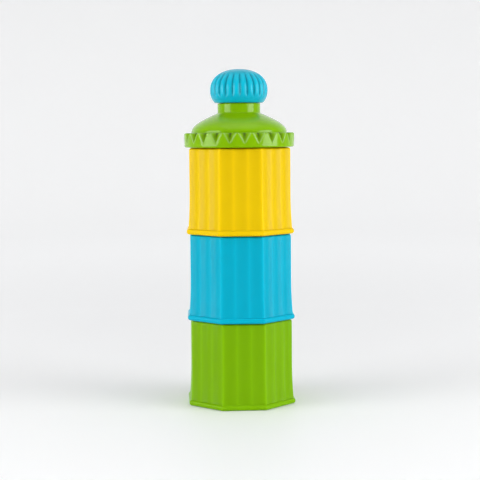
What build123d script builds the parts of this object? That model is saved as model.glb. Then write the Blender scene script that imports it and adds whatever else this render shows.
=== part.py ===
from build123d import *
import os
from math import atan2, cos, degrees, hypot, pi

# Stacking formula dispenser: three octagonal powder cups that screw onto one another, a domed
# pouring lid with a round neck and a notched grip ring, and a ball-shaped cap on the neck.
# Millimetres, +Z up. The origin is the middle of the foot that the stack stands on, and one
# flat of the bottom cup faces -Y. Every cup is the same moulding, set one pitch above the last.

# ---- the stack ----
CUP_NAMES = ["bottom", "middle", "top"]
CUP_TURNS = [0.0, -1.5, -2.2]  # how far each screwed-down cup ends from square, degrees
CUP_PITCH = 53.75
LID_TURN = 2.1
CAP_TURN = -1.2

# ---- cup ----
FLATS = 8
FLUTES_PER_FLAT = 3
FLUTE_DEPTH = 0.75
CUP_HALF_FLAT = 31.55
FOOT_FLARE = 0.9
FLARE_HEIGHT = 26.0
FLARE_STEPS = 4
SHOULDER_Z = 53.35
SHOULDER_ROUND = 1.3
RIDGE_LAND = 0.03  # what the ridges lose to their small lands
CORNER_ROUND = 1.5
BEAD_HALF_FLAT = 33.4
BEAD_HEIGHT = 3.4
BEAD_ROUND = 1.5
BEAD_CORNER_ROUND = 3.0
INNER_HALF_FLAT = 28.9
INNER_CORNER_ROUND = 4.0
SHOULDER_WALL = 1.8
RECESS_HALF_FLAT = 29.8

# ---- screw neck and the socket that fits over it, alike on every cup and under the lid ----
NECK_RISE = 9.7
NECK_R = 26.4
NECK_CREST_R = 27.35
NECK_BORE_R = 24.4
SOCKET_R = 27.7
SOCKET_CREST_R = 26.75
SOCKET_OUTER_R = 29.3
SOCKET_MOUTH_Z = 0.8
SOCKET_LAND_R = 28.0  # the plain land that guides a neck into the socket
SOCKET_LAND_TOP_Z = 2.9
SOCKET_CEILING_Z = 10.4
FLOOR_TOP_Z = 12.2
FIT_GAP = 0.05
NECK_LEAD = 8.0
NECK_THREAD_RISE = 5.6
NECK_THREAD_Z = 2.0  # above the foot of the piece that screws on
SOCKET_THREAD_RISE = 4.2
THREAD_BASE = 2.1
THREAD_CREST = 0.85

# ---- sealing rings ----
SEAL_BORE_R = 24.2
SEAL_OUTER_R = 27.2
SEAL_BOTTOM_Z = 9.4
SEAL_TOP_Z = 10.95
GROOVE_TOP_Z = 11.0

# ---- lid ----
RING_R = 34.5
RING_HEIGHT = 9.0
RING_ROUND = 1.1
SKIRT_INNER_R = 31.4
RING_DECK = 2.0
NOTCHES = 24
NOTCH_DEPTH = 2.7
NOTCH_HEIGHT = 6.7
NOTCH_HALF_WIDTH = 3.85
DOME_BASE_R = 30.0
DOME_POINTS = [(28.8, 12.1), (26.4, 14.6), (22.3, 17.3), (17.6, 19.5), (14.8, 20.7)]
DOME_TOP_SLOPE = 0.45
COLLAR_R = 13.4
COLLAR_FOOT_Z = 22.6
COLLAR_TOP_Z = 27.2
DOME_WALL = 2.2
LIP_BORE_R = 23.2
SPOUT_R = 10.9
SPOUT_CREST_R = 11.7
SPOUT_BORE_R = 9.3
SPOUT_TOP_Z = 37.2
SPOUT_LEAD = 6.0
SPOUT_THREAD_Z = 28.5
SPOUT_THREAD_RISE = 6.0
SPOUT_THREAD_BASE = 1.6
SPOUT_THREAD_CREST = 0.7

# ---- ball cap, measured from the lid's foot like the lid ----
CAP_BOTTOM_Z = 27.5
CAP_EQUATOR_Z = 35.4
CAP_R = 18.1
CAP_RISE = 13.35
CAP_DROP = 13.0
CAP_SQUARENESS = 2.2  # exponent of the cap's superellipse outline
CAP_WALL = 2.0
LOBES = 24
GROOVE_R = 0.8
GROOVE_ENDS = [(14.2, 46.6), (18.75, 30.6)]
GROOVE_MIDDLE = (17.45, 40.1)
LINER_R = 12.0
LINER_CREST_R = 11.25
LINER_OUTER_R = 13.3
LINER_CEILING_Z = 38.7
LINER_TOP_Z = 40.4
LINER_THREAD_LAG = 45.0
LOCATING_BORE_R = 11.5
DISC_R = 11.9
DISC_BOTTOM_Z = 37.3


def turned(*outline):
    """A solid turned about Z from the corners of a closed outline of (radius, height)."""
    return revolve(make_face(Plane.XZ * Polyline(*outline, close=True)), Axis.Z)


def tube(inner_r, outer_r, low, high):
    """A plain ring between two radii and two heights."""
    return turned((inner_r, low), (outer_r, low), (outer_r, high), (inner_r, high))


def thread(wall_r, crest_r, lead, first_z, rise, base, crest, first_turn):
    """Two right-hand ridges on a round wall, with their crests cut to a true cylinder."""
    spare = 0.25
    sink = 0.3
    way = 1 if crest_r > wall_r else -1
    depth = abs(crest_r - wall_r)
    slope = (base - crest) / 2 / depth
    tip = crest / 2 - slope * spare
    far = way * (depth + spare)
    near = -way * sink
    half = base / 2
    corners = [(near, -half), (0, -half), (far, -tip), (far, tip), (0, half), (near, half)]
    start = Plane(origin=(wall_r, 0, 0), x_dir=(1, 0, 0), z_dir=(0, -1, 0))
    section = make_face(start * Polyline(*corners, close=True))
    ridge = sweep(section, path=Helix(pitch=lead, height=rise, radius=wall_r), is_frenet=True)
    core = Pos(0, 0, rise / 2) * Cylinder(crest_r, rise + 2 * base)
    ridge = ridge & core if way > 0 else ridge - core
    placed = Pos(0, 0, first_z) * Rot(0, 0, first_turn) * ridge
    return placed + Rot(0, 0, 180) * placed


def octagon(half_flat, low, high, corner_round):
    """An upright eight-sided prism with rounded corners and a flat towards -Y."""
    outline = RegularPolygon(half_flat, FLATS, major_radius=False, rotation=180 / FLATS)
    prism = Pos(0, 0, low) * extrude(outline, high - low)
    return fillet(prism.edges().filter_by(Axis.Z), corner_round)


def fluted_section(half_flat, height):
    """An octagon whose every flat is three shallow hollow arcs, laid at a height."""
    corner_r = half_flat / cos(pi / FLATS)
    corners = [Vector(corner_r, 0, height).rotate(Axis.Z, 45 * (k - 0.5)) for k in range(FLATS + 1)]
    arcs = []
    for k in range(FLATS):
        side = corners[k + 1] - corners[k]
        outward = Vector(1, 0, 0).rotate(Axis.Z, 45 * k)
        for i in range(FLUTES_PER_FLAT):
            first = corners[k] + side * (i / FLUTES_PER_FLAT)
            last = corners[k] + side * ((i + 1) / FLUTES_PER_FLAT)
            valley = (first + last) * 0.5 - outward * FLUTE_DEPTH
            arcs.append(ThreePointArc(first, valley, last))
    return make_face(arcs)


def cup_body():
    """The fluted outside: straight above, flaring towards the foot, rounded at the shoulder."""
    straight = extrude(fluted_section(CUP_HALF_FLAT, FLARE_HEIGHT), SHOULDER_Z - FLARE_HEIGHT)
    frame = octagon(CUP_HALF_FLAT - RIDGE_LAND, FLARE_HEIGHT, SHOULDER_Z, CORNER_ROUND)
    frame = fillet(frame.faces().sort_by(Axis.Z)[-1].edges(), SHOULDER_ROUND)
    sections = []
    for step in range(FLARE_STEPS + 1):
        share = step / FLARE_STEPS
        height = FLARE_HEIGHT - share * (FLARE_HEIGHT - BEAD_HEIGHT / 2)
        sections.append(fluted_section(CUP_HALF_FLAT + FOOT_FLARE * share**2, height))
    return (straight & frame) + loft(sections)


def cup_shell():
    """One cup's wall with its foot bead, shoulder and threaded neck, open above and below."""
    bead = octagon(BEAD_HALF_FLAT, 0, BEAD_HEIGHT, BEAD_CORNER_ROUND)
    rims = bead.faces().sort_by(Axis.Z)[0].edges() + bead.faces().sort_by(Axis.Z)[-1].edges()
    bead = fillet(rims, BEAD_ROUND)
    neck_top = SHOULDER_Z + NECK_RISE
    neck = tube(NECK_BORE_R - 1, NECK_R, SHOULDER_Z - 1, neck_top)
    neck = chamfer(neck.edges().group_by(Axis.Z)[-1].sort_by(SortBy.RADIUS)[-1], 0.6)
    ridges = thread(
        NECK_R, NECK_CREST_R, NECK_LEAD, CUP_PITCH + NECK_THREAD_Z, NECK_THREAD_RISE,
        THREAD_BASE, THREAD_CREST, 0,
    )
    powder_space = octagon(
        INNER_HALF_FLAT, FLOOR_TOP_Z - 1, SHOULDER_Z - SHOULDER_WALL, INNER_CORNER_ROUND
    )
    recess = octagon(RECESS_HALF_FLAT, -1, FLOOR_TOP_Z, INNER_CORNER_ROUND)
    mouth = Pos(0, 0, SHOULDER_Z) * Cylinder(NECK_BORE_R, 3 * NECK_RISE)
    return cup_body() + bead + neck + ridges - powder_space - recess - mouth


def socket():
    """A round wall with a plain land inside its mouth, and ridges half a pitch above the neck's."""
    top = SOCKET_CEILING_Z + 0.2
    wall = turned(
        (SOCKET_LAND_R, SOCKET_MOUTH_Z),
        (SOCKET_OUTER_R, SOCKET_MOUTH_Z),
        (SOCKET_OUTER_R, top),
        (SOCKET_R, top),
        (SOCKET_R, SOCKET_LAND_TOP_Z),
        (SOCKET_LAND_R, SOCKET_LAND_TOP_Z - (SOCKET_LAND_R - SOCKET_R)),
    )
    ridges = thread(
        SOCKET_R, SOCKET_CREST_R, NECK_LEAD, NECK_THREAD_Z + NECK_LEAD / 4, SOCKET_THREAD_RISE,
        THREAD_BASE, THREAD_CREST, 0,
    )
    return wall + ridges


def cup_floor():
    """The floor that closes a cup from below, with the threaded socket standing down from it."""
    plate = octagon(
        RECESS_HALF_FLAT - FIT_GAP, SOCKET_CEILING_Z, FLOOR_TOP_Z, INNER_CORNER_ROUND
    )
    groove = tube(
        SEAL_BORE_R - FIT_GAP, SEAL_OUTER_R + FIT_GAP, SOCKET_CEILING_Z - 1, GROOVE_TOP_Z
    )
    return plate + socket() - groove


def seal_ring():
    """The flat silicone ring between a neck's rim and the socket's ceiling."""
    ring = tube(SEAL_BORE_R, SEAL_OUTER_R, SEAL_BOTTOM_Z, SEAL_TOP_Z)
    return fillet(ring.edges().group_by(Axis.Z)[0], 0.3)


def notch():
    """A V-shaped wedge along a sloping valley line, deepest at the grip ring's top."""
    slant = hypot(NOTCH_DEPTH, NOTCH_HEIGHT)
    reach = 1.6 * NOTCH_DEPTH * NOTCH_HEIGHT / slant
    spread = 1.6 * NOTCH_HALF_WIDTH
    tilt = degrees(atan2(NOTCH_DEPTH, NOTCH_HEIGHT))
    vee = make_face(Polyline((0, 0), (reach, -spread), (reach, spread), close=True))
    wedge = extrude(vee, 2 * NOTCH_HEIGHT, both=True)
    return Pos(RING_R - NOTCH_DEPTH, 0, RING_HEIGHT) * Rot(0, -tilt, 0) * wedge


def grip_ring():
    """The lid's grip: a deep ring with rounded edges and V notches, open below."""
    ring = tube(SKIRT_INNER_R, RING_R, 0, RING_HEIGHT)
    outer = ring.edges().filter_by(GeomType.CIRCLE).sort_by(SortBy.RADIUS)[-2:]
    ring = fillet(outer, RING_ROUND)
    step = 360 / NOTCHES
    cuts = [Rot(0, 0, step * k - 90) * notch() for k in range(NOTCHES)]
    return ring - cuts


def dome_outline():
    """The dome's closed outline: out over the shoulder, up the collar and down the inside."""
    skirt = (DOME_BASE_R, RING_HEIGHT - RING_DECK / 2)
    crown = Spline(skirt, *DOME_POINTS, tangents=[(0, 1), (-1, DOME_TOP_SLOPE)])
    last_r, last_z = DOME_POINTS[-1]
    corner = (COLLAR_R, last_z + DOME_TOP_SLOPE * (last_r - COLLAR_R))
    fillet_curve = Bezier(DOME_POINTS[-1], corner, (COLLAR_R, COLLAR_FOOT_Z))
    under = [(radius - DOME_WALL / 2, height - DOME_WALL) for radius, height in DOME_POINTS[2:4]]
    rest = Polyline(
        (COLLAR_R, COLLAR_FOOT_Z),
        (COLLAR_R, COLLAR_TOP_Z),
        (SPOUT_R, COLLAR_TOP_Z),
        (SPOUT_R, SPOUT_TOP_Z),
        (SPOUT_BORE_R, SPOUT_TOP_Z),
        (SPOUT_BORE_R, COLLAR_FOOT_Z - 1),
        *reversed(under),
        (LIP_BORE_R, DOME_POINTS[1][1] - 1),
        (LIP_BORE_R, SOCKET_CEILING_Z),
        (SEAL_BORE_R - FIT_GAP, SOCKET_CEILING_Z),
        (SEAL_BORE_R - FIT_GAP, GROOVE_TOP_Z),
        (SEAL_OUTER_R + FIT_GAP, GROOVE_TOP_Z),
        (SEAL_OUTER_R + FIT_GAP, SOCKET_CEILING_Z),
        (SOCKET_R, SOCKET_CEILING_Z),
        (SOCKET_R, skirt[1]),
        skirt,
    )
    return make_face(Plane.XZ * (crown + fillet_curve + rest))


def lid():
    """The pouring lid: grip ring, socket, dome, round collar and threaded spout."""
    deck = tube(SOCKET_R, SKIRT_INNER_R + 0.5, RING_HEIGHT - RING_DECK, RING_HEIGHT)
    spout_thread = thread(
        SPOUT_R, SPOUT_CREST_R, SPOUT_LEAD, SPOUT_THREAD_Z, SPOUT_THREAD_RISE,
        SPOUT_THREAD_BASE, SPOUT_THREAD_CREST, 0,
    )
    dome = revolve(dome_outline(), Axis.Z)
    return grip_ring() + deck + socket() + dome + spout_thread


def superellipse_r(half_width, half_height, height):
    """The radius of a superellipse at a height above its middle."""
    share = min(1.0, abs(height) / half_height)
    return half_width * (1 - share**CAP_SQUARENESS) ** (1 / CAP_SQUARENESS)


def ball_side(half_width, rise, drop, low_z):
    """Points up the side of a ball with a superellipse outline, from its flat foot to its crown."""
    below = [low_z + (CAP_EQUATOR_Z - low_z) * share for share in (0, 0.3, 0.6)]
    above = [CAP_EQUATOR_Z + rise * share for share in (0, 0.25, 0.5, 0.7, 0.85, 0.95, 0.99)]
    flank = [(superellipse_r(half_width, drop, z - CAP_EQUATOR_Z), z) for z in below]
    crown = [(superellipse_r(half_width, rise, z - CAP_EQUATOR_Z), z) for z in above]
    return [*flank, *crown, (0, CAP_EQUATOR_Z + rise)]


def cap_shell():
    """The lobed ball shell with its round opening below and a locating ring inside."""
    side = ball_side(CAP_R, CAP_RISE, CAP_DROP, CAP_BOTTOM_Z)
    core = Polyline(side[-1], (0, CAP_BOTTOM_Z), side[0])
    solid = revolve(make_face(Plane.XZ * (Spline(*side) + core)), Axis.Z)
    path = Plane.XZ * ThreePointArc(GROOVE_ENDS[0], GROOVE_MIDDLE, GROOVE_ENDS[1])
    section = Plane(origin=path @ 0, z_dir=path % 0) * Circle(GROOVE_R)
    groove = sweep(section, path=path)
    step = 360 / LOBES
    grooves = [Rot(0, 0, step * k - 90) * groove for k in range(LOBES)]
    hollow_foot = CAP_BOTTOM_Z + 1.5
    hollow = turned((0, hollow_foot), *ball_side(
        CAP_R - CAP_WALL, CAP_RISE - CAP_WALL, CAP_DROP - CAP_WALL, hollow_foot
    ))
    locating = tube(LOCATING_BORE_R, LINER_OUTER_R, LINER_TOP_Z, CAP_EQUATOR_Z + CAP_RISE)
    opening = Pos(0, 0, CAP_BOTTOM_Z) * Cylinder(LINER_OUTER_R + FIT_GAP, CAP_WALL * 4)
    return solid - grooves - (hollow - locating) - opening


def cap_liner():
    """The threaded sleeve inside the cap, closed above."""
    sleeve = turned(
        (LINER_R, CAP_BOTTOM_Z), (LINER_OUTER_R, CAP_BOTTOM_Z), (LINER_OUTER_R, LINER_TOP_Z),
        (0, LINER_TOP_Z), (0, LINER_CEILING_Z), (LINER_R, LINER_CEILING_Z),
    )
    lag_z = SPOUT_LEAD * LINER_THREAD_LAG / 360
    first_z = SPOUT_THREAD_Z + SPOUT_LEAD / 4 - lag_z
    ridges = thread(
        LINER_R, LINER_CREST_R, SPOUT_LEAD, first_z, SPOUT_THREAD_RISE,
        SPOUT_THREAD_BASE, SPOUT_THREAD_CREST, -LINER_THREAD_LAG,
    )
    return sleeve + ridges


def cap_disc():
    """The silicone disc that closes the spout when the cap is screwed down."""
    disc = turned(
        (0, DISC_BOTTOM_Z), (DISC_R, DISC_BOTTOM_Z),
        (DISC_R, LINER_CEILING_Z - FIT_GAP), (0, LINER_CEILING_Z - FIT_GAP),
    )
    return fillet(disc.edges().group_by(Axis.Z)[0], 0.3)


cup_parts = {"shell": cup_shell(), "floor": cup_floor(), "seal": seal_ring()}
nodes = {}
for level, (name, turn) in enumerate(zip(CUP_NAMES, CUP_TURNS)):
    place = Pos(0, 0, level * CUP_PITCH) * Rot(0, 0, turn)
    for part_name, solid in cup_parts.items():
        nodes[f"{name}_cup_{part_name}"] = place * solid
lid_place = Pos(0, 0, len(CUP_NAMES) * CUP_PITCH)
nodes["lid"] = lid_place * Rot(0, 0, LID_TURN) * lid()
nodes["lid_seal"] = lid_place * seal_ring()
nodes["cap_shell"] = lid_place * Rot(0, 0, CAP_TURN) * cap_shell()
nodes["cap_liner"] = lid_place * cap_liner()
nodes["cap_seal_disc"] = lid_place * cap_disc()

os.makedirs("parts", exist_ok=True)
for name, solid in nodes.items():
    export_step(solid, f"parts/{name}.step")
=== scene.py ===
"""The look of a stacking formula dispenser: three fluted cups, a domed pouring lid and a ball cap.

Every moulding is one closed surface, worked out as a function of two parameters: the turn round
the stack's axis, and the way along an outline of (radius, height). All lengths are in metres.
"""

import math

import bpy
import numpy as np
from bpy.props import FloatProperty, FloatVectorProperty, IntProperty, PointerProperty
from bpy.types import Operator, Panel, PropertyGroup
from mathutils import Matrix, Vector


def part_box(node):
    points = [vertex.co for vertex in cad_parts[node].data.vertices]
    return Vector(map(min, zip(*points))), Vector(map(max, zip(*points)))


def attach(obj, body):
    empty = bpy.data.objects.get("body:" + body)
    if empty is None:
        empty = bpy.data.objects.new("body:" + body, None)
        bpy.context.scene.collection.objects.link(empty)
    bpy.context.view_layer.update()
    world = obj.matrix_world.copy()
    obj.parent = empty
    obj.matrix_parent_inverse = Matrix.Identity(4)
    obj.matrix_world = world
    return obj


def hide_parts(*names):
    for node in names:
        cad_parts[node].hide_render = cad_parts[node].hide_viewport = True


bl_info = {
    "name": "Stacking formula dispenser",
    "version": (1, 0, 0),
    "blender": (4, 5, 0),
    "location": "View3D > Sidebar > Dispenser",
    "description": "Builds the cups, lid, cap and seals of a stacking formula dispenser",
    "category": "Add Mesh",
}

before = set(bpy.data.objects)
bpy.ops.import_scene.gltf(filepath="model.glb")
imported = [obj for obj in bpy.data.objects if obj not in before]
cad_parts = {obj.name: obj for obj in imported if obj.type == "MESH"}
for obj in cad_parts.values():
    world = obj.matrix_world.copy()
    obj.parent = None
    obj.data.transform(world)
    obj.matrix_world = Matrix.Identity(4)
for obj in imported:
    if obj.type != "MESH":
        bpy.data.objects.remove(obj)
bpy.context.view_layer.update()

MM = 0.001
FOOT_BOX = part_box("bottom_cup_shell")
LID_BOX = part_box("lid")
CAP_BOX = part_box("cap_shell")
SEAL_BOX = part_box("bottom_cup_seal")
DISC_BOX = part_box("cap_seal_disc")
LINER_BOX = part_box("cap_liner")
PITCH = LID_BOX[0].z / 3
CUPS = {  # name: (level, how far it ends from square in degrees)
    "bottom": (0, 0.0),
    "middle": (1, -1.5),
    "top": (2, -2.2),
}
LID_TURN = 2.1
CAP_TURN = -1.2

# The socket under each cup and under the lid, with heights above that piece's own foot.
MOUTH = 0.8 * MM
LAND_TOP = 2.6 * MM
LAND_RADIUS = 28.0 * MM
THREAD_FOOT = 2.9 * MM
SOCKET_CEILING = 10.4 * MM
GROOVE_TOP = 11.0 * MM
GROOVE_INNER = 24.15 * MM
GROOVE_OUTER = 27.25 * MM

FLOOR_TOP = 12.2 * MM
FLOOR_RADIUS = 29.75 * MM
RECESS_RADIUS = 29.8 * MM
CUP_INSIDE = 28.9 * MM
SKIRT_RADIUS = 31.4 * MM
SPOUT_LEAD = 6.0 * MM
CAP_EQUATOR = 35.4 * MM

# A thread ridge's width at its base and at its crest.
COARSE_RIDGE = (2.1 * MM, 0.85 * MM)
FINE_RIDGE = (1.6 * MM, 0.7 * MM)


# ---------------------------------------------------------------- sizes and colours

def length(label, description, default):
    """A length property in metres."""
    return FloatProperty(name=label, description=description, default=default, min=0.0, unit="LENGTH")


def paint(label, description, default):
    """A linear colour property."""
    return FloatVectorProperty(
        name=label, description=description, default=default, size=4, min=0.0, max=1.0, subtype="COLOR"
    )


class CupSizes(PropertyGroup):
    """Sizes of the fluted cups and of their round screw necks."""

    half_flat: length("Half flat", "Axis to a flat at the shoulder", 31.55 * MM)
    flare: length("Flare", "How far the foot stands out past the shoulder", 0.9 * MM)
    flare_height: length("Flare height", "Height where the flare begins", 26.0 * MM)
    flute_depth: length("Flute depth", "Depth of each hollow flute", 0.75 * MM)
    bead_half_flat: length("Bead half flat", "Axis to a flat of the foot bead", FOOT_BOX[1].x)
    bead_height: length("Bead height", "Height of the foot bead", 3.4 * MM)
    shoulder: length("Shoulder", "Height of the shoulder", FOOT_BOX[1].z - 9.7 * MM)
    neck_radius: length("Neck radius", "Root radius of the neck's thread", 26.4 * MM)
    neck_crest: length("Neck crest", "Crest radius of the neck's thread", 27.35 * MM)
    neck_bore: length("Neck bore", "Inner radius of the neck", 24.4 * MM)
    neck_top: length("Neck top", "Height of the neck's rim", FOOT_BOX[1].z)
    lead: length("Lead", "Rise of the neck's thread in one turn", 8.0 * MM)
    socket_radius: length("Socket radius", "Root radius of the socket's thread", 27.7 * MM)
    socket_crest: length("Socket crest", "Crest radius of the socket's thread", 26.75 * MM)
    socket_outer: length("Socket outside", "Outer radius of the socket's wall", 29.3 * MM)


class LidSizes(PropertyGroup):
    """Sizes of the pouring lid."""

    ring_radius: length("Ring radius", "Outer radius of the grip ring", LID_BOX[1].x)
    ring_height: length("Ring height", "Height of the grip ring", 9.0 * MM)
    notches: IntProperty(name="Notches", description="V notches round the grip ring", default=24, min=3)
    notch_depth: length("Notch depth", "Depth of a notch at the ring's top", 2.7 * MM)
    notch_height: length("Notch height", "How far down the ring a notch runs", 6.7 * MM)
    notch_half_width: length("Notch half width", "Half a notch's width at the top", 3.85 * MM)
    dome_radius: length("Dome radius", "Radius where the dome meets the ring", 30.0 * MM)
    collar_radius: length("Collar radius", "Radius of the round collar", 13.4 * MM)
    collar_top: length("Collar top", "Height of the collar above the lid's foot", 27.2 * MM)
    spout_radius: length("Spout radius", "Root radius of the spout's thread", 10.9 * MM)
    spout_crest: length("Spout crest", "Crest radius of the spout's thread", 11.7 * MM)
    spout_bore: length("Spout bore", "Inner radius of the spout", 9.3 * MM)
    spout_top: length(
        "Spout top", "Height of the spout's rim above the lid's foot", LID_BOX[1].z - LID_BOX[0].z
    )
    lead: length("Spout lead", "Rise of the spout's thread in one turn", SPOUT_LEAD)


class CapSizes(PropertyGroup):
    """Sizes of the ball cap and its liner."""

    radius: length("Radius", "Largest radius over the lobes", CAP_BOX[1].x)
    equator: length("Equator", "Height of the widest place above the lid's foot", CAP_EQUATOR)
    rise: length("Rise", "Equator to the crown", CAP_BOX[1].z - LID_BOX[0].z - CAP_EQUATOR)
    drop: length("Drop", "Equator to where the ball would close below", 13.0 * MM)
    foot: length("Foot", "Height of the cap's flat foot above the lid's foot", CAP_BOX[0].z - LID_BOX[0].z)
    wall: length("Wall", "Wall thickness", 2.0 * MM)
    lobes: IntProperty(name="Lobes", description="Rounded lobes round the ball", default=24, min=3)
    lobe_depth: length("Lobe depth", "Depth of the grooves between lobes", 0.95 * MM)
    liner_radius: length("Liner radius", "Root radius of the liner's thread", 12.0 * MM)
    liner_crest: length("Liner crest", "Crest radius of the liner's thread", 11.25 * MM)
    liner_outer: length("Liner outside", "Outer radius of the liner", LINER_BOX[1].x)


class Colours(PropertyGroup):
    """Colours of the plastics and the silicone."""

    green: paint("Green", "Bottom cup", (0.160, 0.350, 0.0, 1.0))
    lid_green: paint("Lid green", "Pouring lid", (0.185, 0.390, 0.0, 1.0))
    blue: paint("Blue", "Middle cup", (0.0, 0.335, 0.470, 1.0))
    cap_blue: paint("Cap blue", "Ball cap", (0.0, 0.370, 0.500, 1.0))
    yellow: paint("Yellow", "Top cup", (0.640, 0.430, 0.0, 1.0))
    silicone: paint("Silicone", "Sealing rings and disc", (0.72, 0.72, 0.69, 1.0))
    floor: paint("Floor", "Studio floor", (0.88, 0.88, 0.88, 1.0))


class StageSizes(PropertyGroup):
    """The studio: the camera's place and the floor."""

    distance: length("Distance", "Camera to the stack's axis", 0.810)
    eye_height: length("Eye height", "Camera above the floor", 0.1726)
    azimuth: FloatProperty(
        name="Azimuth", description="Camera's turn round the stack", default=math.radians(-3.5),
        subtype="ANGLE",
    )
    tilt: FloatProperty(
        name="Tilt", description="How far the camera looks down", default=math.radians(4.94),
        subtype="ANGLE",
    )
    roll: FloatProperty(
        name="Roll", description="Camera's roll", default=math.radians(-0.48), subtype="ANGLE"
    )
    lens: FloatProperty(name="Lens", description="Focal length in mm on a 36 mm sensor", default=96.4)
    floor_radius: length("Floor radius", "Radius of the studio's flat floor", 1.3)


# ---------------------------------------------------------------- surfaces

def outline(corners, closed=True):
    """Points and carried values along an outline with rounded corners.

    A corner is (radius, height, rounding, spacing, *carried): rounding is the radius of its arc,
    spacing the distance between points to the next corner. A corner is cut back by
    rounding x tan(half its turn) and bridged by an arc of nine points, or five on a tight one, and
    the carried values run evenly from one corner to the next. The first and last corner of an
    open outline have no rounding.
    Returns an array of rows (radius, height, *carried).
    """
    table = np.array(corners, float)
    place = table[:, :2]
    before = np.roll(place, 1, 0) - place
    after = np.roll(place, -1, 0) - place
    before /= np.linalg.norm(before, axis=1, keepdims=True)
    after /= np.linalg.norm(after, axis=1, keepdims=True)
    half_turn = (np.pi - np.arccos(np.clip((before * after).sum(1), -1, 1))) / 2
    cut = table[:, 2] * np.tan(half_turn)
    rows = []
    for i in range(len(table)):
        carried = table[i, 4:]
        leave = place[i] + after[i] * cut[i]
        arc = place[i][None]
        if cut[i] > 0:
            middle = before[i] + after[i]
            centre = place[i] + middle / np.linalg.norm(middle) * table[i, 2] / np.cos(half_turn[i])
            first, last = place[i] + before[i] * cut[i] - centre, leave - centre
            turn = 2 * half_turn[i]
            share = np.linspace(0, 1, 9 if table[i, 2] > 0.5 * MM else 5)[:, None]
            arc = centre + (np.sin((1 - share) * turn) * first + np.sin(share * turn) * last) / np.sin(turn)
        rows.append(np.hstack([arc, np.tile(carried, (len(arc), 1))]))
        j = (i + 1) % len(table)
        if j == 0 and not closed:
            break
        end = place[j] + before[j] * cut[j]
        count = max(int(np.ceil(np.linalg.norm(end - leave) / table[i, 3])), 1)
        along = np.linspace(0, 1, count + 1)[1:-1, None]
        near, far = np.hstack([leave, carried]), np.hstack([end, table[j, 4:]])
        rows.append(near + along * (far - near))
    return np.vstack(rows)


def surface(name, turn, radius, height, poles=False, **fields):
    """A closed mesh from grids of turn, radius and height, one row for each outline point.

    A point is (radius cos turn, radius sin turn, height). Columns close round the axis. Rows
    close on themselves, or with poles the first and last row are one point each, on the axis.
    Fields are saved on the points by name.
    """
    rows, columns = radius.shape
    grids = {"x": radius * np.cos(turn), "y": radius * np.sin(turn), "z": height, **fields}
    flat = {}
    for key, grid in grids.items():
        grid = np.broadcast_to(grid, radius.shape)
        if poles:
            flat[key] = np.concatenate([grid[0, :1], grid[1:-1].ravel(), grid[-1, :1]])
        else:
            flat[key] = grid.ravel()
    points = np.stack([flat.pop("x"), flat.pop("y"), flat.pop("z")], -1)
    if poles:
        ring = 1 + np.arange((rows - 2) * columns).reshape(rows - 2, columns)
        first_pole, last_pole = np.full((1, columns), 0), np.full((1, columns), len(points) - 1)
        index = np.vstack([first_pole, ring, last_pole])
    else:
        ring = np.arange(rows * columns).reshape(rows, columns)
        index = np.vstack([ring, ring[:1]])
    beside = np.roll(index, -1, 1)
    faces = np.stack([index[:-1], beside[:-1], beside[1:], index[1:]], -1).reshape(-1, 4)
    if poles:
        first, last = faces[:columns, [0, 2, 3]], faces[-columns:, [0, 1, 2]]
        faces = first.tolist() + faces[columns:-columns].tolist() + last.tolist()
    else:
        faces = faces.tolist()
    mesh = bpy.data.meshes.new(name)
    mesh.from_pydata(points.tolist(), [], faces)
    mesh.shade_smooth()
    for field, values in flat.items():
        mesh.attributes.new(field, "FLOAT", "POINT").data.foreach_set("value", values.astype(np.float32))
    mesh.update()
    piece = bpy.data.objects.new(name, mesh)
    bpy.context.scene.collection.objects.link(piece)
    return piece


def even_turns(columns):
    """Columns spread evenly round the axis."""
    return np.arange(columns) * 2 * np.pi / columns


def thread_height(turn, height, lead, first, rise, ridge):
    """How far a two-start right-hand thread stands from its wall, from 0 to 1.

    The ridges' centre lines climb one lead a turn, from the first height to the rise above it,
    and lie half a lead apart. The section is a trapezoid with softened edges, from the ridge's
    base width to its crest width, and it fades in and out over a twentieth of a turn at its ends.
    """
    base, crest = ridge
    line = first + lead * turn / (2 * np.pi)
    step = lead / 2
    centre = line + np.round((height - line) / step) * step
    flank = np.clip((base / 2 - np.abs(height - centre)) / ((base - crest) / 2), 0, 1)
    along = centre - first
    fade = lead / 20
    ends = np.clip(along / fade + 0.5, 0, 1) * np.clip((rise - along) / fade + 0.5, 0, 1)
    amount = flank * ends
    return amount * amount * (3 - 2 * amount)


def octagon_radius(turn, half_flat):
    """The radius of an octagon with soft corners, a flat facing each eighth of a turn.

    It is the smooth largest of the distances to the flats: the sum of (cosine / half flat) to a
    high power over the flats, to the inverse power.
    """
    power = 150
    total = 0
    for k in range(8):
        facing = np.clip(np.cos(turn - k * np.pi / 4), 0, None)
        total = total + facing**power
    return half_flat * total ** (-1 / power)


def across_flat(turn):
    """The place across an octagon's flat, from -1 at one corner to 1 at the next."""
    half = np.pi / 8
    return np.tan((turn + half) % (2 * half) - half) / np.tan(half)


def flute_height(turn, depth):
    """The height of the flutes' hollow arcs above their valleys, three to a flat.

    Each hollow is a parabola across a third of the flat, and neighbours meet in a ridge that is
    softened by a smooth minimum: minus the log of the summed exponentials.
    """
    across = across_flat(turn)
    sharpness = 6.0 / MM
    total = 0
    for centre in (-4 / 3, -2 / 3, 0, 2 / 3, 4 / 3):
        hollow = depth * (3 * (across - centre)) ** 2
        total = total + np.exp(-sharpness * hollow)
    return -np.log(total) / sharpness


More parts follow.
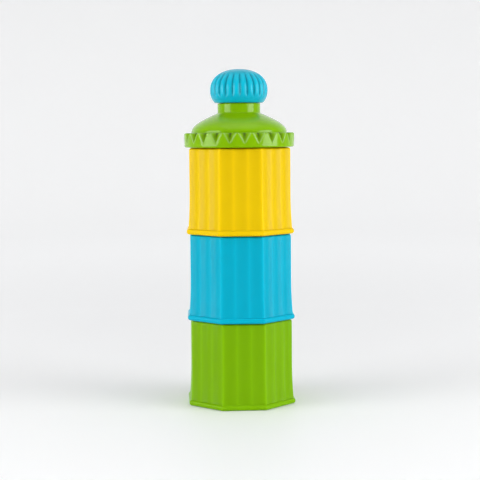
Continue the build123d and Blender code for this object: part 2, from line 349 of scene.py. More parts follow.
def cup_turns():
    """Columns for a cup: 20 to a flute, closer together near the ridges."""
    steps = 20
    share = np.arange(steps) / steps
    share = share - 0.11 * np.sin(2 * np.pi * share)
    across = (np.arange(3)[:, None] + share[None, :]).ravel() * 2 / 3 - 1
    flat = np.arctan(across * np.tan(np.pi / 8))
    return (np.arange(8)[:, None] * np.pi / 4 + flat[None, :]).ravel()


# ---------------------------------------------------------------- plastics

def new_group(name, inputs, outputs):
    """An empty shader node group with named inputs (name, kind, default) and outputs (name, kind)."""
    group = bpy.data.node_groups.new(name, "ShaderNodeTree")
    for label, kind, default in inputs:
        socket = group.interface.new_socket(label, in_out="INPUT", socket_type=kind)
        socket.default_value = default
    for label, kind in outputs:
        group.interface.new_socket(label, in_out="OUTPUT", socket_type=kind)
    start = group.nodes.new("NodeGroupInput")
    end = group.nodes.new("NodeGroupOutput")
    return group, start, end


def noise(tree, scale, detail, coordinates, stretch=None):
    """A noise texture on the given coordinates, stretched along Z if asked."""
    node = tree.nodes.new("ShaderNodeTexNoise")
    node.inputs["Scale"].default_value = scale
    node.inputs["Detail"].default_value = detail
    if stretch:
        mapping = tree.nodes.new("ShaderNodeMapping")
        mapping.inputs["Scale"].default_value = (1, 1, stretch)
        tree.links.new(coordinates, mapping.inputs["Vector"])
        coordinates = mapping.outputs["Vector"]
    tree.links.new(coordinates, node.inputs["Vector"])
    return node.outputs["Fac"]


def math_node(tree, operation, *values):
    """A math node fed by sockets or plain numbers."""
    node = tree.nodes.new("ShaderNodeMath")
    node.operation = operation
    for socket, value in zip(node.inputs, values):
        if isinstance(value, (int, float)):
            socket.default_value = value
        else:
            tree.links.new(value, socket)
    return node.outputs["Value"]


def smooth_step(tree, value, first, last):
    """0 before the first value, 1 past the last, and a smooth step between."""
    node = tree.nodes.new("ShaderNodeMapRange")
    node.interpolation_type = "SMOOTHSTEP"
    node.inputs["From Min"].default_value = first
    node.inputs["From Max"].default_value = last
    tree.links.new(value, node.inputs["Value"])
    return node.outputs["Result"]


def mix_colours(tree, share, first, second):
    """A colour mix by a share, fed by sockets."""
    node = tree.nodes.new("ShaderNodeMix")
    node.data_type = "RGBA"
    tree.links.new(share, node.inputs["Factor"])
    tree.links.new(first, node.inputs[6])
    tree.links.new(second, node.inputs[7])
    return node.outputs[2]


def centred_sum(tree, first, second):
    """The sum of two noises, each moved to lie evenly about zero."""
    first = math_node(tree, "SUBTRACT", first, 0.5)
    second = math_node(tree, "SUBTRACT", second, 0.5)
    return math_node(tree, "ADD", first, second)


def dye_and_painted_light_group():
    """Colour of dyed plastic, streaked along the flow, with painted light: a painted highlight on thin ridges
    and painted shade where asked.
    """
    group, start, end = new_group(
        "moulded_colour",
        [
            ("Body", "NodeSocketColor", (0.8, 0.8, 0.8, 1)),
            ("Ridge Colour", "NodeSocketColor", (0.8, 0.8, 0.8, 1)),
            ("Ridge", "NodeSocketFloat", 0.0),
            ("Shade", "NodeSocketFloat", 0.0),
            ("Streaks", "NodeSocketFloat", 0.06),
        ],
        [("Colour", "NodeSocketColor")],
    )
    where = group.nodes.new("ShaderNodeTexCoord").outputs["Object"]
    flow = noise(group, 90.0, 3.0, where, stretch=0.2)
    cloud = noise(group, 28.0, 2.0, where)
    gain = math_node(group, "MULTIPLY_ADD", centred_sum(group, flow, cloud), start.outputs["Streaks"], 1.0)
    darker = math_node(group, "SUBTRACT", gain, start.outputs["Shade"])
    given = start.outputs
    toned = mix_colours(group, given["Ridge"], given["Body"], given["Ridge Colour"])
    scale = group.nodes.new("ShaderNodeVectorMath")
    scale.operation = "SCALE"
    group.links.new(toned, scale.inputs[0])
    group.links.new(darker, scale.inputs["Scale"])
    group.links.new(scale.outputs["Vector"], end.inputs["Colour"])
    return group


def moulded_skin_group():
    """Fine skin of a moulding: a satin grain, a faint orange peel and a few hairline rubs."""
    group, start, end = new_group(
        "moulded_skin",
        [
            ("Grain", "NodeSocketFloat", 0.5),
            ("Peel", "NodeSocketFloat", 0.5),
            ("Roughness", "NodeSocketFloat", 0.3),
            ("Rubs", "NodeSocketFloat", 0.05),
        ],
        [("Height", "NodeSocketFloat"), ("Roughness", "NodeSocketFloat")],
    )
    where = group.nodes.new("ShaderNodeTexCoord").outputs["Object"]
    grain = math_node(group, "MULTIPLY", noise(group, 2600.0, 2.0, where), start.outputs["Grain"])
    peel = math_node(group, "MULTIPLY", noise(group, 260.0, 1.0, where), start.outputs["Peel"])
    group.links.new(math_node(group, "ADD", grain, peel), end.inputs["Height"])
    hairs = noise(group, 420.0, 4.0, where, stretch=0.06)
    smear = noise(group, 60.0, 3.0, where)
    rubs = centred_sum(group, hairs, smear)
    rough = math_node(group, "MULTIPLY_ADD", rubs, start.outputs["Rubs"], start.outputs["Roughness"])
    group.links.new(rough, end.inputs["Roughness"])
    return group


def plastic(name, body, ridge, roughness, gloss=0.5, grain=0.2, coat=0.0, soften=0.1):
    """A dyed moulded plastic on the two shared groups, with its constants on the shader."""
    material = bpy.data.materials.new(name)
    material.use_nodes = True
    tree = material.node_tree
    shader = tree.nodes["Principled BSDF"]
    shader.inputs["IOR"].default_value = 1.49
    shader.inputs["Specular IOR Level"].default_value = gloss
    shader.inputs["Coat Weight"].default_value = coat
    shader.inputs["Coat Roughness"].default_value = 0.08
    shader.inputs["Subsurface Weight"].default_value = soften
    shader.inputs["Subsurface Radius"].default_value = (1.0, 0.8, 0.5)
    shader.inputs["Subsurface Scale"].default_value = 0.0015
    colour = tree.nodes.new("ShaderNodeGroup")
    colour.node_tree = bpy.data.node_groups["moulded_colour"]
    colour.inputs["Body"].default_value = body
    colour.inputs["Ridge Colour"].default_value = ridge
    # The ridge attribute carries painted highlight and the shade attribute painted shade into the colour.
    for socket, field in (("Ridge", "ridge"), ("Shade", "shade")):
        reader = tree.nodes.new("ShaderNodeAttribute")
        reader.attribute_name = field
        tree.links.new(reader.outputs["Fac"], colour.inputs[socket])
    skin = tree.nodes.new("ShaderNodeGroup")
    skin.node_tree = bpy.data.node_groups["moulded_skin"]
    skin.inputs["Grain"].default_value = grain
    skin.inputs["Peel"].default_value = 0.3
    skin.inputs["Roughness"].default_value = roughness
    bump = tree.nodes.new("ShaderNodeBump")
    bump.inputs["Distance"].default_value = 0.02 * MM
    bump.inputs["Strength"].default_value = 0.6
    tree.links.new(colour.outputs["Colour"], shader.inputs["Base Color"])
    tree.links.new(skin.outputs["Roughness"], shader.inputs["Roughness"])
    tree.links.new(skin.outputs["Height"], bump.inputs["Height"])
    tree.links.new(bump.outputs["Normal"], shader.inputs["Normal"])
    return material


def paler(colour, amount):
    """A colour moved towards white by a share."""
    return tuple(c + (1 - c) * amount for c in colour[:3]) + (1.0,)


def brighter(colour, gain):
    """A colour made lighter by a gain, just as rich, for a painted highlight, as on a thin edge that light
    passes through.
    """
    return tuple(min(c * gain, 1.0) for c in colour[:3]) + (1.0,)


def finish_piece(piece, material, body, node):
    """Dresses a piece, rides it on its body and lets it stand for its CAD node."""
    piece.data.materials.append(material)
    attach(piece, body)
    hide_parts(node)


CUP_COLOURS = {"bottom": "green", "middle": "blue", "top": "yellow"}


# ---------------------------------------------------------------- operators

class DISPENSER_OT_plastics(Operator):
    """Makes the shared node groups and the dispenser's materials"""

    bl_idname = "dispenser.plastics"
    bl_label = "Plastics and Silicone"

    def execute(self, context):
        tones = context.scene.dispenser_colours
        dye_and_painted_light_group()
        moulded_skin_group()
        # Each plastic's second colour is the painted highlight colour for its ridges.
        for cup, colour in CUP_COLOURS.items():
            body = tuple(getattr(tones, colour))
            plastic(f"{colour}_satin", body, brighter(body, 1.3), 0.3, gloss=0.1)
        lid_body = tuple(tones.lid_green)
        plastic("green_gloss", lid_body, paler(lid_body, 0.08), 0.22, gloss=0.08, grain=0.05, coat=0.36)
        cap_body = tuple(tones.cap_blue)
        plastic("blue_gloss", cap_body, brighter(cap_body, 1.15), 0.26, gloss=0.22, grain=0.1)
        rubber = tuple(tones.silicone)
        plastic("white_silicone", rubber, rubber, 0.5, grain=0.4, soften=0.4)
        return {"FINISHED"}


class DISPENSER_OT_cup_shells(Operator):
    """Builds the three fluted cups with their foot beads and threaded necks"""

    bl_idname = "dispenser.cup_shells"
    bl_label = "Cup Shells"

    def execute(self, context):
        size = context.scene.dispenser_cups
        turns = cup_turns()
        rows = self.outline_rows(size)
        radius_row, height_row, roundness, fluting, threading = (rows[:, k, None] for k in range(5))
        ridges = flute_height(turns, size.flute_depth)
        flat_radius = octagon_radius(turns, 1.0) * radius_row
        flat_radius = flat_radius - fluting * (size.flute_depth - ridges)
        radius = flat_radius * (1 - roundness) + radius_row * roundness
        stands = thread_height(
            turns, height_row, size.lead, first=PITCH + 2.0 * MM, rise=5.6 * MM, ridge=COARSE_RIDGE
        )
        radius = radius + threading * stands * (size.neck_crest - size.neck_radius)
        # Painted highlight: the ridges between flutes are lighter, most of all at the octagon's corners, and
        # so is the foot bead, as where light shines through thin plastic.
        bend = np.clip(3 * np.abs(across_flat(turns)) - 2, 0, 1)
        crest = fluting * (0.5 + 0.5 * bend) * (np.clip(ridges / size.flute_depth, 0, 1) ** 2)
        bead = (height_row < size.bead_height) & (radius_row > size.half_flat)
        crest = crest + (0.35 + 0.3 * bend**4) * bead
        # Painted shade: the wall is darker low down, as if shadowed by the socket behind it, most where the
        # two are close.
        gap = np.clip(radius - size.socket_outer, 0, None)
        low = np.exp(-(((height_row - 6.5 * MM) / (4.0 * MM)) ** 2))
        shade = 0.16 * low * np.exp(-gap / (0.9 * MM)) * (fluting > 0.5)
        for cup, (level, turn) in CUPS.items():
            piece = surface(
                f"{cup}_cup", turns + math.radians(turn), radius, height_row + level * PITCH,
                ridge=crest, shade=shade,
            )
            finish_piece(
                piece, bpy.data.materials[f"{CUP_COLOURS[cup]}_satin"], f"{cup}_cup",
                f"{cup}_cup_shell",
            )
        return {"FINISHED"}

    @staticmethod
    def outline_rows(size):
        """The cup's outline: foot, bead, flaring wall, shoulder, neck, then down the inside."""
        wall = []
        for share in np.linspace(1, 0, 9):
            height = size.flare_height + (size.bead_height - size.flare_height) * share
            wall.append((size.half_flat + size.flare * share**2, height, 0, 2.5 * MM, 0, 1, 0))
        wall[0] = wall[0][:2] + (0.3 * MM,) + wall[0][3:]
        neck, bore, top = size.neck_radius, size.neck_bore, size.neck_top
        under_shoulder = size.shoulder - 1.8 * MM
        return outline([
            (RECESS_RADIUS, 0, 0.3 * MM, 1 * MM, 0, 0, 0),
            (size.bead_half_flat, 0, 1.5 * MM, 1 * MM, 0, 0, 0),
            (size.bead_half_flat, size.bead_height, 1.5 * MM, 0.3 * MM, 0, 0, 0),
            *wall,
            (size.half_flat, size.shoulder, 1.3 * MM, 0.6 * MM, 0, 1, 0),
            (neck, size.shoulder, 0.4 * MM, 0.18 * MM, 1, 0, 1),
            (neck, top, 0.6 * MM, 0.6 * MM, 1, 0, 1),
            (bore, top, 0.5 * MM, 3 * MM, 1, 0, 0),
            (bore, under_shoulder, 0.5 * MM, 1.5 * MM, 1, 0, 0),
            (CUP_INSIDE, under_shoulder, 1.5 * MM, 6 * MM, 0, 0, 0),
            (CUP_INSIDE, FLOOR_TOP, 0, 0.5 * MM, 0, 0, 0),
            (RECESS_RADIUS, FLOOR_TOP, 0, 3 * MM, 0, 0, 0),
        ])


def socket_thread(turns, heights, size):
    """How far the thread of a socket stands in from its wall, in metres."""
    stands = thread_height(
        turns, heights, size.lead, first=4.0 * MM, rise=4.2 * MM, ridge=COARSE_RIDGE
    )
    return stands * (size.socket_radius - size.socket_crest)


def socket_corners(size, step, plain, threaded):
    """Outline corners of a socket: the seal's groove, the threaded wall, the land and the mouth.

    The step is the spacing of points down the thread, and plain and threaded are the values
    carried off the thread and on it.
    """
    return [
        (GROOVE_INNER, GROOVE_TOP, 0, 1 * MM, *plain),
        (GROOVE_OUTER, GROOVE_TOP, 0, 1 * MM, *plain),
        (GROOVE_OUTER, SOCKET_CEILING, 0.1 * MM, 1 * MM, *plain),
        (size.socket_radius, SOCKET_CEILING, 0, step, *threaded),
        (size.socket_radius, THREAD_FOOT, 0, 0.5 * MM, *threaded),
        (LAND_RADIUS, LAND_TOP, 0, 0.8 * MM, *plain),
        (LAND_RADIUS, MOUTH, 0.3 * MM, 0.5 * MM, *plain),
    ]


class DISPENSER_OT_cup_floors(Operator):
    """Builds the floors that close the cups, with the threaded sockets under them"""

    bl_idname = "dispenser.cup_floors"
    bl_label = "Cup Floors"

    def execute(self, context):
        size = context.scene.dispenser_cups
        rows = self.outline_rows(size)
        turns = cup_turns()
        radius_row, height_row, roundness, threading = (rows[:, k, None] for k in range(4))
        radius = octagon_radius(turns, 1.0) * radius_row * (1 - roundness) + radius_row * roundness
        radius = radius - threading * socket_thread(turns, height_row, size)
        for cup, (level, turn) in CUPS.items():
            piece = surface(
                f"{cup}_floor", turns + math.radians(turn), radius, height_row + level * PITCH,
                poles=True,
            )
            finish_piece(
                piece, bpy.data.materials[f"{CUP_COLOURS[cup]}_satin"], f"{cup}_cup",
                f"{cup}_cup_floor",
            )
        return {"FINISHED"}

    @staticmethod
    def outline_rows(size):
        """From the middle of the underside, round the seal's groove and the socket, over the top."""
        return outline([
            (0, SOCKET_CEILING, 0, 4 * MM, 1, 0),
            (GROOVE_INNER, SOCKET_CEILING, 0.15 * MM, 1 * MM, 1, 0),
            *socket_corners(size, 0.2 * MM, (1, 0), (1, 1)),
            (size.socket_outer, MOUTH, 0.4 * MM, 3 * MM, 1, 0),
            (size.socket_outer, SOCKET_CEILING, 0.2 * MM, 1 * MM, 1, 0),
            (FLOOR_RADIUS, SOCKET_CEILING, 0.05 * MM, 1 * MM, 0, 0),
            (FLOOR_RADIUS, FLOOR_TOP, 0.05 * MM, 4 * MM, 0, 0),
            (28.0 * MM, FLOOR_TOP, 0, 4 * MM, 0, 0),
            (20.0 * MM, FLOOR_TOP, 0, 5 * MM, 1, 0),
            (0, FLOOR_TOP, 0, 20 * MM, 1, 0),
        ], closed=False)


class DISPENSER_OT_seals(Operator):
    """Builds the silicone rings under the cups and the lid, and the disc in the cap"""

    bl_idname = "dispenser.seals"
    bl_label = "Silicone Seals"

    def execute(self, context):
        rubber = bpy.data.materials["white_silicone"]
        low, high = SEAL_BOX[0].z, SEAL_BOX[1].z
        inner, outer = 24.2 * MM, SEAL_BOX[1].x
        rows = outline([
            (inner, low, 0.4 * MM, 0.6 * MM),
            (outer, low, 0.4 * MM, 0.6 * MM),
            (outer, high, 0.2 * MM, 0.6 * MM),
            (inner, high, 0.2 * MM, 0.6 * MM),
        ])
        turns = even_turns(192)
        radius = np.repeat(rows[:, :1], len(turns), 1)
        places = {
            "bottom_cup_seal": ("bottom_cup", 0),
            "middle_cup_seal": ("middle_seal_ring", 1),
            "top_cup_seal": ("top_seal_ring", 2),
            "lid_seal": ("lid_seal_ring", 3),
        }
        for node, (body, level) in places.items():
            piece = surface(f"{node}_ring", turns, radius, rows[:, 1:2] + level * PITCH)
            finish_piece(piece, rubber, body, node)
        low, high, edge = DISC_BOX[0].z, DISC_BOX[1].z, DISC_BOX[1].x
        rows = outline([
            (0, low, 0, 2 * MM),
            (edge, low, 0.4 * MM, 0.6 * MM),
            (edge, high, 0.2 * MM, 2 * MM),
            (0, high, 0, 20 * MM),
        ], closed=False)
        radius = np.repeat(rows[:, :1], len(turns), 1)
        piece = surface("cap_disc", turns, radius, rows[:, 1:2], poles=True)
        finish_piece(piece, rubber, "cap_seal", "cap_seal_disc")
        return {"FINISHED"}


class DISPENSER_OT_pouring_lid(Operator):
    """Builds the pouring lid: notched grip ring, socket, dome, collar and threaded spout"""

    bl_idname = "dispenser.pouring_lid"
    bl_label = "Pouring Lid"

    def execute(self, context):
        size = context.scene.dispenser_lid
        cups = context.scene.dispenser_cups
        rows = self.outline_rows(size, cups)
        radius_row, height_row, notching, spout, socket = (rows[:, k, None] for k in range(5))
        turns, across = self.notch_columns(size, height_row, notching)
        reach = size.notch_depth * np.clip(
            1 - (size.ring_height - height_row) / size.notch_height, -1, 1
        )
        # Each notch is a V cut, with its valley and its two edges softened by square roots.
        slope = size.notch_depth / size.notch_half_width
        soft = 0.22 * MM
        dip = reach - slope * np.sqrt(across**2 + (0.5 * soft) ** 2)
        cut = 0.5 * (dip + np.sqrt(dip**2 + soft**2))
        radius = radius_row - notching * cut
        stands = thread_height(
            turns, height_row, size.lead, first=28.5 * MM, rise=6 * MM, ridge=FINE_RIDGE
        )
        radius = radius + spout * stands * (size.spout_crest - size.spout_radius)
        radius = radius - socket * socket_thread(turns, height_row, cups)
        # Painted light: a painted highlight along the notches' edges and painted shade in their valleys.
        edge = notching * np.exp(-((dip / (0.3 * MM)) ** 2)) * np.clip(reach / (0.5 * MM), 0, 1)
        valley = notching * np.exp(-((across / (1.15 * MM)) ** 2)) * np.clip(reach / size.notch_depth, 0, 1)
        piece = surface(
            "lid_shell", turns + math.radians(LID_TURN), radius, height_row + LID_BOX[0].z,
            ridge=edge, shade=0.75 * valley,
        )
        finish_piece(piece, bpy.data.materials["green_gloss"], "pouring_lid", "lid")
        return {"FINISHED"}

    @staticmethod
    def notch_columns(size, height_row, notching):
        """Columns that follow each notch's two slanting edges, and the distance across it.

        A notch's share of the ring runs from -1 to 1. The part within the edge is stretched to
        the notch's half width at that height, and the rest fills up to the next notch.
        """
        edge = 0.72
        narrowest = 0.06
        half = np.array([0, 0.06, 0.22, 0.45, 0.64, edge, 0.79, 0.89, 1.0])
        share = np.concatenate([-half[:0:-1], half[:-1]])
        room = np.pi * size.ring_radius / size.notches
        narrow = np.clip(1 - (size.ring_height - height_row) / size.notch_height, narrowest, 1)
        width = size.notch_half_width * narrow * notching + room * edge * (1 - notching)
        inside = share / edge * width
        outside = np.sign(share) * (width + (room - width) * (np.abs(share) - edge) / (1 - edge))
        across = np.where(np.abs(share) <= edge, inside, outside)
        middles = np.arange(size.notches) * 2 * np.pi / size.notches - np.pi / 2
        turns = middles[None, :, None] + across[:, None, :] / size.ring_radius
        across = np.repeat(across[:, None, :], size.notches, 1)
        return turns.reshape(len(width), -1), across.reshape(len(width), -1)

    @staticmethod
    def outline_rows(size, cups):
        """The lid's outline: up the ring and over the dome to the spout, then down the inside."""
        ring, top = size.ring_radius, size.ring_height
        # The dome is a cubic Bezier curve: its four points are weighted by the Bernstein terms.
        points = np.array([[size.dome_radius, top], [size.dome_radius, top + 5 * MM],
                           [22.9 * MM, 17.0 * MM], [14.8 * MM, 20.7 * MM]])
        dome = []
        for share in np.linspace(0.04, 1, 14):
            rest = 1 - share
            weights = np.array([rest**3, 3 * share * rest**2, 3 * share**2 * rest, share**3])
            radius, height = weights @ points
            dome.append((radius, height, 0, 3.0 * MM, 0, 0, 0))
        return outline([
            (SKIRT_RADIUS, 0, 0.3 * MM, 0.8 * MM, 0, 0, 0),
            (ring, 0, 1.0 * MM, 0.3 * MM, 0, 0, 0),
            (ring, 2.0 * MM, 0, 0.42 * MM, 1, 0, 0),
            (ring, top, 1.0 * MM, 1.2 * MM, 1, 0, 0),
            (size.dome_radius, top, 0.3 * MM, 0.3 * MM, 0, 0, 0),
            *dome,
            (size.collar_radius, 21.33 * MM, 0.9 * MM, 1 * MM, 0, 0, 0),
            (size.collar_radius, size.collar_top, 0.4 * MM, 0.8 * MM, 0, 0, 0),
            (size.spout_radius, size.collar_top, 0.2 * MM, 0.25 * MM, 0, 1, 0),
            (size.spout_radius, size.spout_top, 0.5 * MM, 0.6 * MM, 0, 1, 0),
            (size.spout_bore, size.spout_top, 0.5 * MM, 3 * MM, 0, 0, 0),
            (size.spout_bore, 21.6 * MM, 1.0 * MM, 1.5 * MM, 0, 0, 0),
            (16.5 * MM, 17.3 * MM, 1.0 * MM, 1.5 * MM, 0, 0, 0),
            (23.2 * MM, 13.6 * MM, 1.0 * MM, 1.5 * MM, 0, 0, 0),
            (23.2 * MM, SOCKET_CEILING, 0.2 * MM, 1 * MM, 0, 0, 0),
            (GROOVE_INNER, SOCKET_CEILING, 0.2 * MM, 1 * MM, 0, 0, 0),
            *socket_corners(cups, 0.36 * MM, (0, 0, 0), (0, 0, 1)),
            (cups.socket_outer, MOUTH, 0.4 * MM, 2 * MM, 0, 0, 0),
            (cups.socket_outer, 7.0 * MM, 0.5 * MM, 1 * MM, 0, 0, 0),
            (SKIRT_RADIUS, 7.0 * MM, 0.5 * MM, 2 * MM, 0, 0, 0),
        ])


class DISPENSER_OT_ball_cap(Operator):
    """Builds the lobed ball cap and the threaded liner inside it"""

    bl_idname = "dispenser.ball_cap"
    bl_label = "Ball Cap"

    def execute(self, context):
        size = context.scene.dispenser_cap
        self.shell(size)
        self.liner(size)
        return {"FINISHED"}

    @staticmethod
    def superellipse(width, height, turn):
        """Radius and height of a superellipse of exponent 2.2 at a turn up from its equator."""
        power = 2 / 2.2
        return width * np.cos(turn) ** power, height * np.sin(turn) ** power

    def shell(self, size):
        """The ball as one surface: out from under the crown, down the hollow, up the outside.

        The outside is cut into lobes: a circular arc across each, sunk by the lobe depth at the
        grooves, fading in above the plain foot and out below the plain crown.
        """
        crown = size.equator + size.rise
        opening = size.liner_outer + 0.05 * MM
        ledge = LINER_BOX[1].z - LID_BOX[0].z
        locating = 11.5 * MM
        lowest = math.asin(((size.equator - size.foot - 1.0 * MM) / size.drop) ** 1.1)
        down = self.superellipse(size.radius, size.drop, np.linspace(lowest, 0, 18)[:-1])
        up = self.superellipse(size.radius, size.rise, np.linspace(0, np.pi / 2, 46)[:-1])
        flank = [(r, size.equator - z, 0, 5 * MM, 1) for r, z in zip(*down)]
        dome = [(r, size.equator + z, 0, 5 * MM, 1) for r, z in zip(*up)]
        rows = outline([
            (0, crown - size.wall, 0, 2 * MM, 0),
            (8 * MM, crown - size.wall - 0.9 * MM, 1 * MM, 2 * MM, 0),
            (locating, crown - size.wall - 2.4 * MM, 0.2 * MM, 2 * MM, 0),
            (locating, ledge, 0, 1 * MM, 0),
            (opening, ledge, 0, 2 * MM, 0),
            (opening, size.foot, 0.3 * MM, 0.5 * MM, 0),
            (down[0][0] - 0.6 * MM, size.foot, 1.7 * MM, 0.5 * MM, 0),
            *flank,
            *dome,
            (0, crown, 0, 5 * MM, 1),
        ], closed=False)
        radius_row, height_row, outside = (rows[:, k, None] for k in range(3))
        turns, lobe = self.lobe_columns(size)
        chord = 2 * np.pi * size.radius / size.lobes
        bend = (chord**2 / 4 + size.lobe_depth**2) / (2 * size.lobe_depth)
        soft = np.sqrt(lobe**2 + 0.0004)
        sunk = bend - np.sqrt(bend**2 - np.minimum(soft, 0.5) ** 2 * chord**2)
        fade_from, fade_in, fade_out, fade_to = 30.2 * MM, 3.6 * MM, 2.6 * MM, 46.6 * MM
        into = np.clip((height_row - fade_from) / fade_in, 0, 1)
        out = np.clip((fade_to - height_row) / fade_out, 0, 1)
        amount = outside * into * into * (3 - 2 * into) * out * out * (3 - 2 * out)
        radius = radius_row - amount * sunk
        # Painted light: a painted highlight on the lobes' crests and painted shade in the grooves between
        # them.
        piece = surface(
            "cap_ball", turns + math.radians(CAP_TURN), radius, height_row + LID_BOX[0].z,
            poles=True, ridge=amount * (1 - sunk / size.lobe_depth),
            shade=0.42 * amount * (sunk / size.lobe_depth) ** 1.4,
        )
        finish_piece(piece, bpy.data.materials["blue_gloss"], "ball_cap", "cap_shell")

    @staticmethod
    def lobe_columns(size):
        """Columns round the ball, closer together in the grooves, and each one's place across its
        lobe from -0.5 to 0.5."""
        columns = 18
        share = np.arange(size.lobes * columns) / columns
        across = share % 1 - 0.5
        across = across + 0.1 * np.sin(2 * np.pi * across)
        turns = (np.floor(share) + 0.5 + across) * 2 * np.pi / size.lobes - np.pi / 2
        return turns, across

    @staticmethod
    def liner(size):
        """The threaded sleeve, closed above."""
        low, high = size.foot, LINER_BOX[1].z - LID_BOX[0].z
        ceiling = high - 1.7 * MM
        rows = outline([
            (0, ceiling, 0, 3 * MM, 0),
            (size.liner_radius, ceiling, 0, 0.17 * MM, 1),
            (size.liner_radius, low, 0.4 * MM, 0.6 * MM, 1),
            (size.liner_outer, low, 0.2 * MM, 3 * MM, 0),
            (size.liner_outer, high, 0.4 * MM, 3 * MM, 0),
            (0, high, 0, 30 * MM, 0),
        ], closed=False)
        turns = even_turns(288)
        stands = thread_height(
            turns, rows[:, 1:2], SPOUT_LEAD, first=30.0 * MM, rise=4.5 * MM, ridge=FINE_RIDGE
        )
        radius = rows[:, :1] - rows[:, 2:3] * stands * (size.liner_radius - size.liner_crest)
        piece = surface("cap_sleeve", turns, radius, rows[:, 1:2] + LID_BOX[0].z, poles=True)
        finish_piece(piece, bpy.data.materials["blue_gloss"], "ball_cap", "cap_liner")


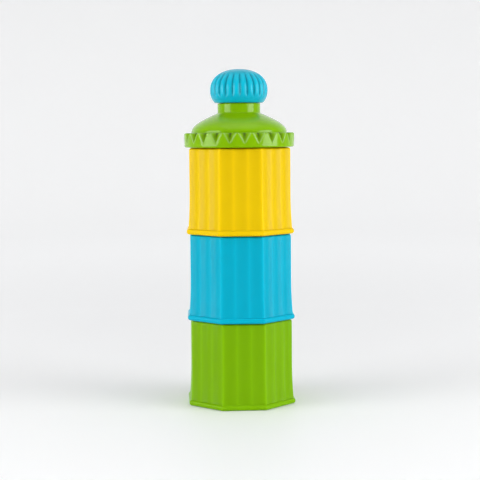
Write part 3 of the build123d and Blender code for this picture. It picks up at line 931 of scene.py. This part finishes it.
class DISPENSER_OT_studio(Operator):
    """Lays the pale floor, hangs the soft lights and places the camera"""

    bl_idname = "dispenser.studio"
    bl_label = "Studio"

    def execute(self, context):
        size = context.scene.dispenser_stage
        tones = context.scene.dispenser_colours
        self.floor(size, tuple(tones.floor))
        self.lights()
        self.sky()
        self.camera(context, size)
        context.scene.view_settings.view_transform = "Standard"
        return {"FINISHED"}

    @staticmethod
    def floor(size, colour):
        """A round floor that sweeps up into a wall all round: height grows as the square of the
        distance past the flat part. A faint glow, which only the camera sees and which grows
        with the distance from the stack, keeps it evenly pale."""
        turns = even_turns(96)
        radius = np.linspace(0, 1, 40)[:, None] ** 1.5 * size.floor_radius * 2.4
        rise = np.clip(radius - size.floor_radius, 0, None) ** 2 * 0.9
        points = np.stack(np.broadcast_arrays(radius * np.cos(turns), radius * np.sin(turns), rise), -1)
        rows, columns = points.shape[:2]
        row = np.arange(rows - 1)[:, None]
        column = np.arange(columns)[None, :]
        right = (column + 1) % columns
        faces = np.stack(
            [row * columns + column, (row + 1) * columns + column,
             (row + 1) * columns + right, row * columns + right], -1
        ).reshape(-1, 4)
        mesh = bpy.data.meshes.new("studio_floor")
        mesh.from_pydata(points.reshape(-1, 3).tolist(), [], faces.tolist())
        mesh.shade_smooth()
        floor = bpy.data.objects.new("studio_floor", mesh)
        bpy.context.scene.collection.objects.link(floor)
        material = bpy.data.materials.new("studio_floor")
        material.use_nodes = True
        tree = material.node_tree
        shader = tree.nodes["Principled BSDF"]
        shader.inputs["Base Color"].default_value = colour
        shader.inputs["Roughness"].default_value = 0.55
        shader.inputs["Emission Color"].default_value = colour
        away = tree.nodes.new("ShaderNodeVectorMath")
        away.operation = "LENGTH"
        tree.links.new(tree.nodes.new("ShaderNodeTexCoord").outputs["Object"], away.inputs[0])
        seen = tree.nodes.new("ShaderNodeLightPath").outputs["Is Camera Ray"]
        lift = math_node(tree, "MULTIPLY_ADD", smooth_step(tree, away.outputs["Value"], 0.0, 1.2), 0.31, 0.02)
        tree.links.new(math_node(tree, "MULTIPLY", seen, lift), shader.inputs["Emission Strength"])
        mesh.materials.append(material)
        floor.visible_glossy = False

    @staticmethod
    def lights():
        """Soft boxes: one each side towards the front, and a broad one overhead."""
        boxes = {
            "left_softbox": ((-1.02, -0.40, 0.28), (0.75, 0.8), 10.6),
            "right_softbox": ((0.98, -0.50, 0.28), (0.75, 0.8), 12.0),
            "top_softbox": ((0.0, -0.2, 1.3), (1.2, 1.0), 2.5),
        }
        aim_height = 0.11
        for name, (place, spread, power) in boxes.items():
            lamp = bpy.data.lights.new(name, "AREA")
            lamp.shape = "RECTANGLE"
            lamp.size, lamp.size_y = spread
            lamp.energy = power
            light = bpy.data.objects.new(name, lamp)
            light.location = place
            x, y, z = -place[0], -place[1], aim_height - place[2]
            light.rotation_euler = (math.atan2(math.hypot(x, y), -z), 0, math.atan2(y, x) - math.pi / 2)
            bpy.context.scene.collection.objects.link(light)

    @staticmethod
    def sky():
        """A pale surround that is bright behind and above and dim on the camera's side: its
        strength follows a smooth step along the direction's Y and another along its Z. The
        camera itself sees it evenly lit."""
        world = bpy.data.worlds.new("studio_sky")
        world.use_nodes = True
        tree = world.node_tree
        background = tree.nodes["Background"]
        direction = tree.nodes.new("ShaderNodeTexCoord").outputs["Generated"]
        split = tree.nodes.new("ShaderNodeSeparateXYZ")
        tree.links.new(direction, split.inputs["Vector"])
        behind = smooth_step(tree, split.outputs["Y"], -0.05, 0.9)
        above = math_node(tree, "MULTIPLY", smooth_step(tree, split.outputs["Z"], 0.35, 0.95), 0.6)
        seen = tree.nodes.new("ShaderNodeLightPath").outputs["Is Camera Ray"]
        lit = math_node(tree, "MAXIMUM", math_node(tree, "MAXIMUM", behind, above), seen)
        strength = math_node(tree, "MULTIPLY_ADD", lit, 0.98, 0.04)
        background.inputs["Color"].default_value = (0.97, 0.98, 1.0, 1.0)
        tree.links.new(strength, background.inputs["Strength"])
        bpy.context.scene.world = world

    @staticmethod
    def camera(context, size):
        """The camera, at eye height, looking a little down at the stack."""
        data = bpy.data.cameras.new("camera")
        data.lens = size.lens
        data.sensor_width = 36.0
        data.clip_start = 0.01
        camera = bpy.data.objects.new("camera", data)
        camera.rotation_mode = "XYZ"
        camera.location = (
            math.sin(size.azimuth) * size.distance, -math.cos(size.azimuth) * size.distance, size.eye_height
        )
        heading = Matrix.Rotation(size.azimuth, 4, "Z")
        upright = Matrix.Rotation(math.pi / 2 - size.tilt, 4, "X")
        rolled = Matrix.Rotation(size.roll, 4, "Z")
        camera.rotation_euler = (heading @ upright @ rolled).to_euler()
        context.scene.collection.objects.link(camera)
        context.scene.camera = camera


class DISPENSER_PT_panel(Panel):
    """Sidebar panel with the dispenser's sizes, colours and builders"""

    bl_idname = "DISPENSER_PT_panel"
    bl_label = "Formula Dispenser"
    bl_space_type = "VIEW_3D"
    bl_region_type = "UI"
    bl_category = "Dispenser"

    def draw(self, context):
        layout = self.layout
        for operator in OPERATORS:
            layout.operator(operator.bl_idname)
        for name, group in GROUPS.items():
            box = layout.box()
            box.label(text=group.__doc__)
            settings = getattr(context.scene, name)
            for prop in group.__annotations__:
                box.prop(settings, prop)


OPERATORS = (
    DISPENSER_OT_plastics,
    DISPENSER_OT_cup_shells,
    DISPENSER_OT_cup_floors,
    DISPENSER_OT_seals,
    DISPENSER_OT_pouring_lid,
    DISPENSER_OT_ball_cap,
    DISPENSER_OT_studio,
)
GROUPS = {
    "dispenser_cups": CupSizes,
    "dispenser_lid": LidSizes,
    "dispenser_cap": CapSizes,
    "dispenser_colours": Colours,
    "dispenser_stage": StageSizes,
}


def register():
    for name, group in GROUPS.items():
        bpy.utils.register_class(group)
        setattr(bpy.types.Scene, name, PointerProperty(type=group))
    for operator in OPERATORS:
        bpy.utils.register_class(operator)
    bpy.utils.register_class(DISPENSER_PT_panel)


def unregister():
    bpy.utils.unregister_class(DISPENSER_PT_panel)
    for operator in reversed(OPERATORS):
        bpy.utils.unregister_class(operator)
    for name, group in GROUPS.items():
        delattr(bpy.types.Scene, name)
        bpy.utils.unregister_class(group)


def main():
    """Builds the whole dispenser."""
    register()
    for operator in OPERATORS:
        family, action = operator.bl_idname.split(".")
        getattr(getattr(bpy.ops, family), action)()
    bpy.context.view_layer.update()


if __name__ == "__main__":
    main()
